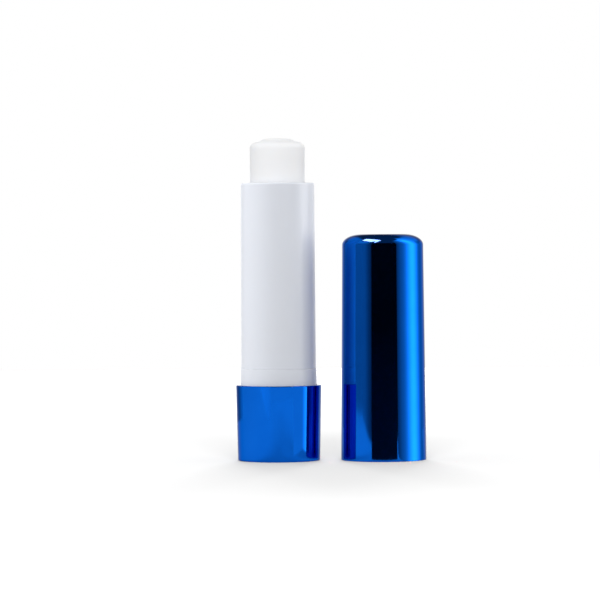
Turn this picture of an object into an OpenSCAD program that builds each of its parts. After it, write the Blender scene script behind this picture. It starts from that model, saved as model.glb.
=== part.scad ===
// Twist-up lip balm stick, standing open with its cap beside it.
// Millimetres, +Z up. The stick's axis is the Z axis and its base stands on z = 0.
// Diameters grow outwards from the balm, and heights grow upwards from the base,
// so each piece takes its size from the piece that it fits.

/* [Balm] */
// Diameter of the balm
balm_d = 12.25; // [10.5:0.05:14]
// How far the balm stands out of the tube as modelled
balm_out = 9.9; // [2:0.1:30]
// How far the tip stands out of the tube when it is wound right down
tip_proud = 0.4; // [0:0.1:2]
// Radius of the flat in the middle of the tip
tip_flat_r = 0.4; // [0.2:0.1:1.2]
// Fall of the tip per square millimetre away from that flat
tip_curve = 0.018; // [0.005:0.001:0.03]
// Drop from the raised middle of the tip to the ring round it
tip_step = 0.5; // [0.2:0.05:0.9]
// Radius at which the raised middle starts to fall
tip_disc_r = 2.6; // [1.5:0.1:3.5]
// Width of the slope between the raised middle and the ring
tip_slope_w = 1.8; // [0.8:0.1:2.4]
// Rounding of the balm's outer edge
tip_round = 1.25; // [0.6:0.05:1.8]

/* [Tube] */
// Height of the tube's mouth above the rim of the base
tube_rise = 44.9; // [38:0.1:55]
// Wall of the tube at its mouth
tube_wall = 1.85; // [1.4:0.05:2.4]
// Growth of the tube's diameter from its mouth down to the collar
tube_draft = 0.25; // [0:0.05:0.6]
// Rounding of the mouth's outer edge
mouth_round = 0.4; // [0.1:0.05:0.7]
// Height of the two key ribs in the bore
key_h = 0.42; // [0.3:0.02:0.5]
// Width of the key ribs
key_w = 1; // [0.6:0.1:1.6]
// Distance from the mouth down to the top of the key ribs
key_stop = 2.4; // [1:0.1:6]
// Height of the bead on the tube's foot that snaps into the collar
bead_h = 0.25; // [0.15:0.05:0.35]
// Length of that bead along the tube
bead_l = 0.9; // [0.6:0.1:1.4]
// Distance from the bottom of the foot up to the middle of the bead
bead_rise = 2.2; // [1.5:0.1:4]

/* [Drive collar] */
// Height of the collar above the rim of the base
collar_rise = 3.7; // [2.5:0.1:6]
// Step from the tube's surface out to the collar's
collar_step = 0.2; // [0.1:0.05:0.4]
// Wall of the sleeve round the tube's foot
collar_wall = 1; // [0.9:0.05:1.2]
// Height of the web above the floor of the base
web_rise = 10.4; // [8:0.1:11]
// Thickness of the web
web_t = 1.4; // [1:0.1:2]
// Number of gussets under the web
gussets = 4; // [3:1:6]
// Thickness of a gusset
gusset_t = 0.9; // [0.6:0.1:1.4]
// Height of a gusset
gusset_h = 3; // [1.5:0.1:5]

/* [Base shell] */
// Height of the base
base_h = 16.8; // [15.5:0.1:22]
// Wall of the base
base_wall = 0.95; // [0.8:0.05:1.4]
// Thickness of the floor of the base
base_floor = 1.2; // [0.9:0.1:1.6]
// Growth of the base's diameter from its foot up to its rim
base_draft = 0.7; // [0:0.05:1]
// Depth of the recess under the base
recess_depth = 0.4; // [0.2:0.05:0.5]
// Width of the ring that the base stands on
stand_ring_w = 1.8; // [1:0.1:3]
// Rounding of the foot's outer edge
foot_round = 0.35; // [0.2:0.05:0.6]
// Rounding of the rim's outer edge, and of the cap's where it meets the rim
rim_round = 0.2; // [0.1:0.05:0.35]
// Number of lugs that turn the collar
lugs = 4; // [3:1:8]
// Height of a lug
lug_h = 1.6; // [1:0.1:2.4]
// Width of a lug
lug_w = 1.4; // [1:0.1:2]
// How far a lug reaches past the sleeve towards the axis
lug_reach = 0.3; // [0.1:0.05:0.8]

/* [Cap] */
// Wall of the cap beside the tube's mouth
cap_wall = 0.7; // [0.6:0.05:1.2]
// Thickness of the cap's roof
cap_roof = 1.6; // [1:0.1:2.2]
// Free height inside the cap above the tube's mouth
cap_headroom = 3.7; // [2.5:0.1:8]
// Width of the crown's rounded edge, on the radius
crown_w = 4.2; // [2.5:0.1:5]
// Height of the crown's rounded edge
crown_h = 2.4; // [1.6:0.1:3.2]
// Rounding of the corner inside the roof
roof_round = 1.6; // [0.8:0.1:2]
// Chamfer at the mouth of the cap
cap_lead_in = 0.25; // [0.1:0.05:0.4]
// Number of grip ribs inside the cap's mouth
grip_ribs = 6; // [3:1:12]
// Width of a grip rib
grip_w = 0.8; // [0.5:0.1:1.4]
// Distance from the cap's mouth up to the grip ribs
grip_start = 0.8; // [0.5:0.1:1.5]
// Gap between the base and the cap where they stand side by side
stand_gap = 4.3; // [1:0.1:12]

/* [Feed screw] */
// Diameter of the screw's core
core_d = 3.2; // [2.8:0.1:3.6]
// Height of the thread above the core
thread_h = 0.6; // [0.45:0.05:0.7]
// Rise of the carrier in one turn of the base
thread_lead = 4; // [3.5:0.1:5]
// Width of the thread along the axis at its crest
crest_w = 0.9; // [0.6:0.05:1.1]
// Width of the thread along the axis at its root
root_w = 1.7; // [1.4:0.05:1.9]
// Distance from the tube's mouth down to the tip of the screw
screw_below = 5.7; // [4:0.1:12]
// Step from the core down to the plain necks below and above the thread
relief = 0.2; // [0.15:0.05:0.4]
// Length of the plain point above the thread
point_l = 0.8; // [0.5:0.1:1.6]
// Thickness of the screw's flange
flange_t = 1.6; // [1:0.1:2.4]
// Size across the flats of the hexagon that drives the screw
hex_af = 5; // [4.4:0.1:5.6]
// Height of the snap head under the web
head_h = 1.4; // [1:0.1:2]
// How far the snap head stands out past the hexagon's corners
head_lip = 0.25; // [0.15:0.05:0.5]
// Width of the slot that lets the snap head spring in
slot_w = 0.9; // [0.6:0.1:1.2]

/* [Carrier] */
// Thickness of the carrier's floor
carrier_floor = 1.2; // [0.8:0.1:2]
// Height of the rim above the carrier's floor
rim_h = 3.5; // [2:0.1:6]
// Wall of the carrier's rim
rim_wall = 1; // [0.8:0.05:1.2]
// Height of the threaded hub
hub_h = 5; // [4:0.1:8]
// Wall of the hub outside its thread
hub_wall = 0.95; // [0.6:0.05:1.2]
// How far the ring at the top of the hub stands out to hold the balm
hub_ring = 0.35; // [0.2:0.05:0.6]
// Height of that ring
hub_ring_h = 0.8; // [0.5:0.1:1.5]
// Number of fins between hub and rim
fins = 4; // [3:1:6]
// Thickness of a fin
fin_t = 0.8; // [0.6:0.1:1.2]
// Height of the fins above the carrier's floor
fin_h = 2.5; // [1:0.1:3.2]

/* [Fits] */
// Gap round the balm and the carrier in the tube's bore
slide_gap = 0.2; // [0.1:0.05:0.4]
// Running clearance round the tube's foot
run_gap = 0.1; // [0.05:0.01:0.15]
// Gap between the tube's shoulder and the top of the collar
shoulder_gap = 0.15; // [0.1:0.05:0.4]
// Gap along the axis under the tube's foot and under the carrier at its lowest
stop_gap = 0.25; // [0.1:0.05:0.6]
// Clearance all round the thread
thread_gap = 0.25; // [0.2:0.01:0.3]
// Gap between pieces that are pressed or cast together
seat_gap = 0.05; // [0.02:0.01:0.1]
// Clearance between the cap and what it covers
cap_gap = 0.15; // [0.05:0.05:0.3]
// Clearance left by the grip ribs round the collar
grip_gap = 0.02; // [0.01:0.01:0.05]

/* [Hidden] */

BLUE = [0.01, 0.28, 0.70];
WHITE = [0.90, 0.91, 0.94];
NATURAL = [0.86, 0.86, 0.84];
WAX = [0.94, 0.94, 0.95];

$fn = 96;
EDGE_STEPS = 6;    // chords in a small rounded edge
CROWN_STEPS = 20;  // chords in the cap's crown
TIP_STEPS = 30;    // chords in the balm's tip
TURN_SLICES = 12;  // slices in one turn of the thread
CREST_STEPS = 4;   // chords across the thread's crest
CORE_STEPS = 6;    // chords round the screw's core
EMBED = 0.3;       // how deep ribs and lugs run into the wall that carries them
PAST = 1;          // how far a cutting shape runs past what it cuts

// Radii, from the balm outwards
balm_r = balm_d / 2;
bore_r = balm_r + slide_gap;
mouth_r = bore_r + tube_wall;
tube_r = mouth_r + tube_draft / 2;
collar_r = tube_r + collar_step;
base_r = collar_r + seat_gap + base_wall;
foot_r = base_r - base_draft / 2;
cap_top_r = mouth_r + cap_gap + cap_wall;
sleeve_r = collar_r - collar_wall;
tube_foot_r = sleeve_r - run_gap;
key_r = bore_r - key_h;
hex_r = hex_af / 2 / cos(30);

// Heights, from the base upwards
collar_top = base_h + collar_rise;
web_z = base_floor + seat_gap + web_rise;
web_top = web_z + web_t;
tube_bottom = web_top + stop_gap;
shoulder_z = collar_top + shoulder_gap;
tube_top = base_h + tube_rise;
flange_z = web_top + seat_gap;
flange_top = flange_z + flange_t;
screw_top = tube_top - screw_below;
cap_h = tube_rise + cap_headroom + cap_roof;

// The carrier at its lowest, and as modelled
carrier_low = flange_top + stop_gap;
wound_up = balm_out - tip_proud;
carrier_z = carrier_low + wound_up;
floor_z = carrier_z + carrier_floor;
rim_top = floor_z + rim_h;
tip_z = tube_top + balm_out;

// Thread and hub
core_r = core_d / 2;
crest_r = core_r + thread_h;
relief_r = core_r - relief;
thread_z = flange_top + stop_gap;
thread_top = screw_top - point_l;
hub_r = crest_r + thread_gap + hub_wall;
notch_r = key_r - slide_gap;
notch_w = key_w + 2 * slide_gap;

// Where the cap stands
cap_x = base_r + stand_gap + base_r;

// Points of a round or elliptical arc about c, from angle a0 to angle a1
function arc(c, rx, ry, a0, a1, steps) =
    [for (i = [0 : steps]) let (a = a0 + (a1 - a0) * i / steps) c + [rx * cos(a), ry * sin(a)]];

// A small rounded edge about c
function edge(c, r, a0, a1) = arc(c, r, r, a0, a1, EDGE_STEPS);

// Radius at height z of a wall that runs straight from radius r0 at z0 to radius r1 at z1
function taper(r0, r1, z0, z1, z) = r0 + (r1 - r0) * (z - z0) / (z1 - z0);

// Outside of the base, and the bore that runs parallel to it
function base_outer(z) = taper(foot_r, base_r, 0, base_h, z);
function base_inner(z) = base_outer(z) - base_wall;

// Outside of the collar's skirt, which fills that bore
function skirt_outer(z) = base_inner(z) - seat_gap;

module turned(outline) {
    rotate_extrude() polygon(outline);
}

// Copies children round the axis
module around(count, first = 0) {
    for (i = [0 : count - 1]) rotate([0, 0, first + 360 * i / count]) children();
}

// A flat bar that points out along X from radius r0 to radius r1
module bar(r0, r1, width, z0, z1) {
    translate([r0, -width / 2, z0]) cube([r1 - r0, width, z1 - z0]);
}

// Cross-section of the single-start thread, grown by a gap. An angle round the axis stands for
// its share of the lead, so the widths along the axis give where the crest and the root begin.
function thread_section(gap) =
    let (
        at_crest = 180 * (crest_w + 2 * gap) / thread_lead,
        at_root = 180 * (root_w + 2 * gap) / thread_lead
    )
    concat(
        arc([0, 0], crest_r + gap, crest_r + gap, -at_crest, at_crest, CREST_STEPS),
        arc([0, 0], core_r + gap, core_r + gap, at_root, 360 - at_root, CORE_STEPS)
    );

// Left-hand thread between two heights, always in phase with the axis it winds round
module thread(z0, z1, gap) {
    height = z1 - z0;
    translate([0, 0, z0])
        rotate([0, 0, -360 * z0 / thread_lead])
            linear_extrude(
                height = height,
                twist = 360 * height / thread_lead,
                slices = ceil(TURN_SLICES * height / thread_lead),
                $fn = TURN_SLICES
            )
                polygon(thread_section(gap));
}

// Barrel with its mouth, key ribs and snap foot
module tube() {
    color(WHITE) {
        difference() {
            turned(concat(
                [[bore_r, tube_bottom]],
                tube_foot_outline(),
                [[tube_foot_r, shoulder_z], [tube_r, shoulder_z]],
                edge([mouth_r - mouth_round, tube_top - mouth_round], mouth_round, 0, 90),
                [[bore_r, tube_top]]
            ));
            translate([0, 0, tube_top - mouth_round / 2])
                cylinder(r1 = bore_r, r2 = bore_r + mouth_round, h = mouth_round);
        }
        around(2) bar(key_r, bore_r + EMBED, key_w, carrier_low, tube_top - key_stop);
    }
}

// Outside of the foot: a lead-in, then the bead that snaps into the collar
function tube_foot_outline() =
    let (bead_z = tube_bottom + bead_rise)
    [
        [tube_foot_r - bead_h, tube_bottom],
        [tube_foot_r, tube_bottom + bead_h],
        [tube_foot_r, bead_z - bead_l / 2],
        [tube_foot_r + bead_h, bead_z - bead_l / 2 + bead_h],
        [tube_foot_r + bead_h, bead_z + bead_l / 2 - bead_h / 2],
        [tube_foot_r, bead_z + bead_l / 2]
    ];

// Outer cup of the base, with lugs on its floor that turn the collar
module base_shell() {
    lug_z = base_floor - EMBED;
    lug_top = base_floor + lug_h;
    lug_r = base_inner(lug_top) - seat_gap - collar_wall - lug_reach;
    recess_r = foot_r - stand_ring_w;
    color(BLUE) difference() {
        union() {
            difference() {
                turned(concat(
                    [[0, 0]],
                    edge([base_outer(foot_round) - foot_round, foot_round], foot_round, -90, 0),
                    edge([base_r - rim_round, base_h - rim_round], rim_round, 0, 90),
                    [[0, base_h]]
                ));
                turned([
                    [0, base_floor],
                    [base_inner(base_floor), base_floor],
                    [base_inner(base_h), base_h],
                    [base_inner(base_h), base_h + PAST],
                    [0, base_h + PAST]
                ]);
            }
            around(lugs, 180 / lugs)
                bar(lug_r, base_inner(base_floor) + EMBED, lug_w, lug_z, lug_top);
        }
        turned([
            [0, -PAST],
            [recess_r + PAST, -PAST],
            [recess_r - recess_depth, recess_depth],
            [0, recess_depth]
        ]);
    }
}

// White sleeve pressed into the base: the tube's foot turns in it and the cap grips it
module drive_collar() {
    skirt_z = base_floor + seat_gap;
    groove_z = tube_bottom + bead_rise;
    groove_half = bead_l / 2 + run_gap;
    groove_r = tube_foot_r + bead_h + run_gap;
    gusset_end = skirt_outer(web_z) - collar_wall + EMBED;
    notch_top = base_floor + lug_h + run_gap;
    color(WHITE) difference() {
        union() {
            difference() {
                turned(concat(
                    [[0, skirt_z], [skirt_outer(skirt_z), skirt_z], [collar_r, base_h]],
                    edge([collar_r - collar_step, collar_top - collar_step], collar_step, 0, 90),
                    [[0, collar_top]]
                ));
                turned([
                    [0, skirt_z - PAST],
                    [skirt_outer(skirt_z - PAST) - collar_wall, skirt_z - PAST],
                    [skirt_outer(web_z) - collar_wall, web_z],
                    [0, web_z]
                ]);
                translate([0, 0, web_top]) cylinder(r = sleeve_r, h = collar_top - web_top + PAST);
                turned([
                    [0, groove_z - groove_half],
                    [sleeve_r, groove_z - groove_half],
                    [groove_r, groove_z - groove_half + bead_h],
                    [groove_r, groove_z + groove_half - bead_h / 2],
                    [sleeve_r, groove_z + groove_half],
                    [0, groove_z + groove_half]
                ]);
            }
            around(gussets)
                bar(hex_r + head_lip + EMBED, gusset_end, gusset_t, web_z - gusset_h, web_z + EMBED);
        }
        around(lugs, 180 / lugs)
            bar(sleeve_r - collar_wall, base_r, lug_w + 2 * run_gap, skirt_z - PAST, notch_top);
        translate([0, 0, web_z - PAST])
            cylinder(r = hex_r + seat_gap, h = web_t + 2 * PAST, $fn = 6);
    }
}

// Threaded rod that lifts the carrier, snapped into the collar's web
module feed_screw() {
    head_r = hex_r + head_lip;
    head_top = web_z - seat_gap;
    color(NATURAL) {
        difference() {
            union() {
                translate([0, 0, flange_z]) cylinder(r = bore_r - slide_gap, h = flange_t);
                translate([0, 0, head_top]) cylinder(r = hex_r, h = flange_z - head_top + EMBED, $fn = 6);
                translate([0, 0, head_top - head_h]) cylinder(r1 = hex_r - EMBED, r2 = head_r, h = head_h);
            }
            translate([-head_r - PAST, -slot_w / 2, head_top - head_h - PAST])
                cube([2 * (head_r + PAST), slot_w, head_h + web_t / 2 + PAST]);
        }
        translate([0, 0, flange_top - EMBED]) cylinder(r = relief_r, h = thread_z - flange_top + 2 * EMBED);
        thread(thread_z, thread_top, 0);
        turned([
            [0, thread_top - EMBED],
            [relief_r, thread_top - EMBED],
            [relief_r, thread_top],
            [relief_r - point_l / 2, screw_top],
            [0, screw_top]
        ]);
    }
}

// Outline of the carrier's notches and the balm's grooves that run along the key ribs
module key_notches(z0, z1) {
    around(2) bar(notch_r, bore_r + PAST, notch_w, z0, z1);
}

// Fins between hub and rim, grown by a gap where they cut the balm
module carrier_fins(gap) {
    fin_end = balm_r - rim_wall + EMBED;
    around(fins, 180 / fins)
        bar(hub_r - EMBED, fin_end, fin_t + 2 * gap, floor_z - EMBED, floor_z + fin_h + gap);
}

// Hub with its ring, grown by a gap where it cuts the balm
module carrier_hub(gap) {
    hub_top = carrier_z + hub_h;
    ring_z = hub_top - hub_ring_h;
    turned([
        [0, carrier_z],
        [hub_r + gap, carrier_z],
        [hub_r + gap, ring_z - gap],
        [hub_r + hub_ring + gap, ring_z - gap],
        [hub_r + gap, hub_top + gap],
        [0, hub_top + gap]
    ]);
}

// Cup that carries the balm and climbs the screw
module carrier() {
    color(NATURAL) difference() {
        union() {
            difference() {
                translate([0, 0, carrier_z]) cylinder(r = balm_r, h = carrier_floor + rim_h);
                translate([0, 0, floor_z]) cylinder(r = balm_r - rim_wall, h = rim_h + PAST);
            }
            carrier_hub(0);
            carrier_fins(0);
        }
        key_notches(carrier_z - PAST, rim_top + PAST);
        thread(carrier_z - PAST / 2, carrier_z + hub_h + PAST / 2, thread_gap);
    }
}

// Depth of the balm's surface below its tip at radius r
function tip_fall(r) =
    let (
        away = max(0, r - tip_flat_r),
        slope = min(1, max(0, (r - tip_disc_r) / tip_slope_w)),
        over = max(0, r - (balm_r - tip_round))
    )
    tip_curve * away * away
        + tip_step * slope * slope * (3 - 2 * slope)
        + tip_round - sqrt(max(0, tip_round * tip_round - over * over));

// Balm cast in the carrier, bored out for the screw and grooved by the key ribs
module balm() {
    seat = rim_top + seat_gap;
    bore_top = screw_top + wound_up + thread_gap;
    groove_top = tube_top - key_stop + wound_up + slide_gap;
    plug_r = balm_r - rim_wall - seat_gap;
    color(WAX) difference() {
        turned(concat(
            [[0, floor_z + seat_gap], [plug_r, floor_z + seat_gap], [plug_r, seat], [balm_r, seat]],
            [for (i = [TIP_STEPS : -1 : 0])
                let (r = balm_r * sin(90 * i / TIP_STEPS)) [r, tip_z - tip_fall(r)]]
        ));
        carrier_hub(seat_gap);
        carrier_fins(seat_gap);
        key_notches(seat - PAST, groove_top);
        translate([0, 0, floor_z - PAST]) cylinder(r = crest_r + thread_gap, h = bore_top - floor_z + PAST);
    }
}

// Cap, standing mouth down beside the stick
module cap() {
    cavity_r = collar_r + cap_gap;
    upper_r = mouth_r + cap_gap;
    roof_z = cap_h - cap_roof;
    color(BLUE) translate([cap_x, 0, 0]) {
        difference() {
            turned(concat(
                [[0, 0]],
                edge([base_r - rim_round, rim_round], rim_round, -90, 0),
                arc([cap_top_r - crown_w, cap_h - crown_h], crown_w, crown_h, 0, 90, CROWN_STEPS),
                [[0, cap_h]]
            ));
            turned(concat(
                [[0, -PAST], [cavity_r + cap_lead_in + PAST, -PAST]],
                [[cavity_r, cap_lead_in], [upper_r, tube_rise]],
                edge([upper_r - roof_round, roof_z - roof_round], roof_round, 0, 90),
                [[0, roof_z]]
            ));
        }
        around(grip_ribs, 90)
            bar(collar_r + grip_gap, cavity_r + EMBED, grip_w, grip_start, collar_rise);
    }
}

tube();
base_shell();
drive_collar();
feed_screw();
carrier();
balm();
cap();
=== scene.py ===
# %% [markdown]
# # A lip balm stick in metallised blue and white
#
# The object is a twist-up lip balm stick, standing open, with its cap beside it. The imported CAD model
# gives every size and every joint. This lesson gives it its looks: fine outlines for the parts that are
# seen, real finishes for plastic, metallised lacquer and wax, and the light of a product picture.
#
# The parts are nearly all round, so most of the modelling is one move done well: an outline is drawn
# point by point with extrude, and spin turns it round the axis.

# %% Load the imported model
import math

import bmesh
import bpy
import mathutils
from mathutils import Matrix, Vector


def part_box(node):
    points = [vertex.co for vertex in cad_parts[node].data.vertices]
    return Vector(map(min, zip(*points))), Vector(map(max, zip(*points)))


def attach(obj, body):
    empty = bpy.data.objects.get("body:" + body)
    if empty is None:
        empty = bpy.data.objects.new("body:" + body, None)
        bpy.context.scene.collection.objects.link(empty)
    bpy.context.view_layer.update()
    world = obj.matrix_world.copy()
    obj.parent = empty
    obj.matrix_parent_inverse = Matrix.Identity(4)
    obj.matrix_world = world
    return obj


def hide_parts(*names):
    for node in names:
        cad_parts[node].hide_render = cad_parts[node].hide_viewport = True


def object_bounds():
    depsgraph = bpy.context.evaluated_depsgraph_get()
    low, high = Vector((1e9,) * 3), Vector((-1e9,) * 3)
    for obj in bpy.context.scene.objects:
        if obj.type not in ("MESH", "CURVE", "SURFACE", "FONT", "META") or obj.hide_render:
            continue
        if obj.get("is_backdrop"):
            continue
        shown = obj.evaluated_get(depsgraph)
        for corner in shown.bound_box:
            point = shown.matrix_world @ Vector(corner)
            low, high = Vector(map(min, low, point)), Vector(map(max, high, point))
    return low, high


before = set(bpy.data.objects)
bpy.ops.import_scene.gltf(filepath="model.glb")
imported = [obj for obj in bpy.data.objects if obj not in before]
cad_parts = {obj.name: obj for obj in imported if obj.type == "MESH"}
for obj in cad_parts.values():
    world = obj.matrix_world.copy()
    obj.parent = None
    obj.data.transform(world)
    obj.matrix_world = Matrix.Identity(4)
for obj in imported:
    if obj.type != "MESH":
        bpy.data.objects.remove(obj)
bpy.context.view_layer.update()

MM = 0.001

# %% [markdown]
# ## Sizes
#
# The lesson measures what it can on the CAD nodes, so that a change there carries over. The walls and
# roundings inside each part can't be read from a box. They are named in millimetres where each part is
# turned.

# %% Measure the nodes
def span(node):
    """Lowest and highest corner of a CAD node, in millimetres."""
    low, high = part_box(node)
    return low / MM, high / MM


tube_low, tube_high = span("tube")
base_low, base_high = span("base_shell")
collar_low, collar_high = span("drive_collar")
balm_low, balm_high = span("balm")
cap_low, cap_high = span("cap")

rim_r = (base_high.x - base_low.x) / 2
tube_r = (tube_high.x - tube_low.x) / 2
collar_r = (collar_high.x - collar_low.x) / 2
balm_r = (balm_high.y - balm_low.y) / 2
cap_x = (cap_high.x + cap_low.x) / 2
base_h = base_high.z
collar_top = collar_high.z
tube_top = tube_high.z
tip_z = balm_high.z
cap_h = cap_high.z
print(f"base {2 * rim_r:.2f} wide {base_h:.2f} high, tube {2 * tube_r:.2f} wide, balm {2 * balm_r:.2f} wide")
print(f"tip at {tip_z:.2f}, cap {cap_h:.2f} high at {cap_x:.2f}")

# %% [markdown]
# ## Turning a part
#
# A moulded round part is one outline turned round its axis. A cylinder primitive would give a wall
# without a mouth, and a screw modifier keeps the outline live but leaves its pole open. Drawing the
# outline with extrude and turning it with the spin operator gives clean rings of quads. The spin is
# set half a step round, so that a face, and not an edge, points along X: ribs and grooves stand there.

# %% Helpers for turning
STEPS = 192
STEP = 2 * math.pi / STEPS
QUARTER = math.pi / 2
WELD = 2e-7


def arc(c, rx, rz, a0, a1, count):
    """Points of an arc about c, as (radius, height), from angle a0 to a1 in degrees."""
    angles = [math.radians(a0 + (a1 - a0) * i / count) for i in range(count + 1)]
    return [(c[0] + rx * math.cos(a), c[1] + rz * math.sin(a)) for a in angles]


def bend(r, z, size, a0, a1, count):
    """Points of a circular arc about (r, z), for a round edge."""
    return arc((r, z), size, size, a0, a1, count)


def only(piece):
    """Select one object and make it the active one."""
    bpy.ops.object.select_all(action="DESELECT")
    piece.select_set(True)
    bpy.context.view_layer.objects.active = piece


def turn(name, outline, axis_x=0.0, ring=False):
    """Turn an outline of (radius, height) points in millimetres. A ring's last point joins its first."""
    bpy.ops.object.select_all(action="DESELECT")
    r0, z0 = outline[0]
    bpy.ops.mesh.primitive_plane_add(size=MM, location=((axis_x + r0) * MM, 0, z0 * MM))
    piece = bpy.context.object
    piece.name = piece.data.name = name
    bpy.ops.object.transform_apply(location=True, rotation=True, scale=True)
    bpy.ops.object.mode_set(mode="EDIT")
    bpy.ops.mesh.select_all(action="SELECT")
    bpy.ops.mesh.select_mode(type="VERT")
    bpy.ops.mesh.select_all(action="SELECT")
    bpy.ops.mesh.merge(type="CENTER")
    for (ra, za), (rb, zb) in zip(outline, outline[1:]):
        step = ((rb - ra) * MM, 0, (zb - za) * MM)
        bpy.ops.mesh.extrude_region_move(TRANSFORM_OT_translate={"value": step})
    if ring:
        ends = bmesh.from_edit_mesh(piece.data)
        ends.verts.ensure_lookup_table()
        ends.verts[0].select_set(True)
        bmesh.update_edit_mesh(piece.data)
        bpy.ops.mesh.edge_face_add()
    bpy.ops.mesh.select_all(action="SELECT")
    middle = (axis_x * MM, 0, 0)
    bpy.ops.mesh.spin(steps=STEPS, angle=2 * math.pi, center=middle, axis=(0, 0, 1))
    bpy.ops.mesh.select_all(action="SELECT")
    bpy.ops.mesh.remove_doubles(threshold=WELD)
    bpy.ops.mesh.normals_make_consistent(inside=False)
    bpy.ops.transform.rotate(value=STEP / 2, orient_axis="Z", center_override=middle)
    bpy.ops.object.mode_set(mode="OBJECT")
    return piece


def pull_rib(piece, turned_by, faces_wide, z0, z1, wall_r, depth, axis_x=0.0):
    """Pull a strip of a wall's faces towards the axis, or away from it where depth is negative."""
    only(piece)
    bpy.ops.object.mode_set(mode="EDIT")
    bpy.ops.mesh.select_mode(type="FACE")
    bpy.ops.mesh.select_all(action="DESELECT")
    shape = bmesh.from_edit_mesh(piece.data)
    near_wall = 0.1
    picked = 0
    for face in shape.faces:
        centre = face.calc_center_median() / MM
        x, y = centre.x - axis_x, centre.y
        off = (math.atan2(y, x) - turned_by + math.pi) % (2 * math.pi) - math.pi
        on_wall = abs(math.hypot(x, y) - wall_r) < near_wall
        if abs(off) < STEP * faces_wide / 2 and z0 < centre.z < z1 and on_wall:
            face.select_set(True)
            picked += 1
    bmesh.update_edit_mesh(piece.data)
    way = (-depth * MM * math.cos(turned_by), -depth * MM * math.sin(turned_by), 0)
    bpy.ops.mesh.extrude_region_move(TRANSFORM_OT_translate={"value": way})
    bpy.ops.mesh.select_all(action="SELECT")
    bpy.ops.mesh.normals_make_consistent(inside=False)
    bpy.ops.object.mode_set(mode="OBJECT")
    return picked


def carve(piece, tool, how="DIFFERENCE"):
    """Cut one mesh with another, or join them, and throw the tool away."""
    only(piece)
    cut = piece.modifiers.new("carve", "BOOLEAN")
    cut.operation = how
    cut.solver = "EXACT"
    cut.object = tool
    bpy.ops.object.modifier_apply(modifier=cut.name)
    bpy.data.objects.remove(tool)


def block(low, high, turned_by=0.0):
    """A box between two corners in millimetres, turned round the stick's axis, as a tool for carve."""
    bpy.ops.object.select_all(action="DESELECT")
    middle = [(a + b) / 2 * MM for a, b in zip(low, high)]
    bpy.ops.mesh.primitive_cube_add(size=1, location=middle)
    tool = bpy.context.object
    tool.scale = [(b - a) * MM for a, b in zip(low, high)]
    bpy.ops.object.transform_apply(location=True, rotation=True, scale=True)
    tool.rotation_euler.z = turned_by
    bpy.ops.object.transform_apply(location=True, rotation=True, scale=True)
    return tool


def smooth(piece, angle=32):
    """Smooth the shading, with long walls deciding the normals where they meet a rounding."""
    only(piece)
    bpy.ops.object.shade_smooth_by_angle(angle=math.radians(angle))
    weigh = piece.modifiers.new("weigh", "WEIGHTED_NORMAL")
    weigh.mode = "FACE_AREA"
    weigh.keep_sharp = True
    bpy.ops.object.modifier_apply(modifier=weigh.name)
    print(piece.name, len(piece.data.polygons), "faces")

# %% [markdown]
# ## The base
#
# The base is a cup 16.8 mm high that the fingers turn. It widens by 0.7 mm towards its rim, as the
# mould needs. It stands on a ring, with a shallow recess and the mould's gate mark inside it, and four
# lugs on its floor drive the collar. Foot and rim are small arcs, because a mirror finish shows every
# edge as a bright or dark line.

# %% Turn the base
BASE_WALL = 0.95
BASE_FLOOR = 1.2
BASE_DRAFT = 0.35
STAND_RING = 1.8
RECESS = 0.4
GATE_R = 0.9
GATE_DEEP = 0.15
SLOPE_W = 0.3
SLOPE_H = 0.15
RING_ROUND = 0.15
RING_SET_OUT = 0.12
FOOT_ROUND = 0.35
RIM_ROUND = 0.2
RIM_INNER_ROUND = 0.08
LUGS = 4
LUG_H = 1.6
LUG_FACES = 5
LUG_THROUGH = 0.3
SEAT_GAP = 0.05
COLLAR_WALL = 1.0

foot_r = rim_r - BASE_DRAFT
recess_r = foot_r - STAND_RING
slope_r = recess_r - RECESS - SLOPE_W


def base_outer(z):
    """Outside radius of the base's wall at height z."""
    return foot_r + (rim_r - foot_r) * z / base_h


base_outline = (
    [(0, RECESS + GATE_DEEP), (GATE_R - GATE_DEEP, RECESS + GATE_DEEP), (GATE_R, RECESS), (slope_r, RECESS)]
    + arc((slope_r, RECESS - SLOPE_H), SLOPE_W, SLOPE_H, 90, 20, 4)
    + bend(recess_r + RING_SET_OUT, RING_ROUND, RING_ROUND, 200, 270, 4)
    + bend(base_outer(FOOT_ROUND) - FOOT_ROUND, FOOT_ROUND, FOOT_ROUND, -90, 0, 10)
    + bend(rim_r - RIM_ROUND, base_h - RIM_ROUND, RIM_ROUND, 0, 90, 8)
    + bend(rim_r - BASE_WALL + RIM_INNER_ROUND, base_h - RIM_INNER_ROUND, RIM_INNER_ROUND, 90, 180, 3)
    + [(base_outer(BASE_FLOOR + LUG_H) - BASE_WALL, BASE_FLOOR + LUG_H)]
    + [(base_outer(BASE_FLOOR) - BASE_WALL, BASE_FLOOR), (0, BASE_FLOOR)]
)
base_cup = turn("base_cup", base_outline)

lug_ways = [QUARTER / 2 + k * QUARTER for k in range(LUGS)]
lug_wall = base_outer(BASE_FLOOR + LUG_H / 2) - BASE_WALL
lug_deep = SEAT_GAP + COLLAR_WALL + LUG_THROUGH
for way in lug_ways:
    found = pull_rib(base_cup, way, LUG_FACES, BASE_FLOOR, BASE_FLOOR + LUG_H, lug_wall, lug_deep)
print("base: faces in a lug", found)
smooth(base_cup)

# %% [markdown]
# ## The drive collar
#
# The white ring above the base is the top of a sleeve pressed into it. The tube's foot snaps into the
# sleeve's groove and turns there, and a web with a hexagonal hole drives the screw. The ring is turned
# like the base. The hexagon, the gussets and the slots for the lugs aren't round, so they are cut or
# joined with a boolean.

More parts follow.
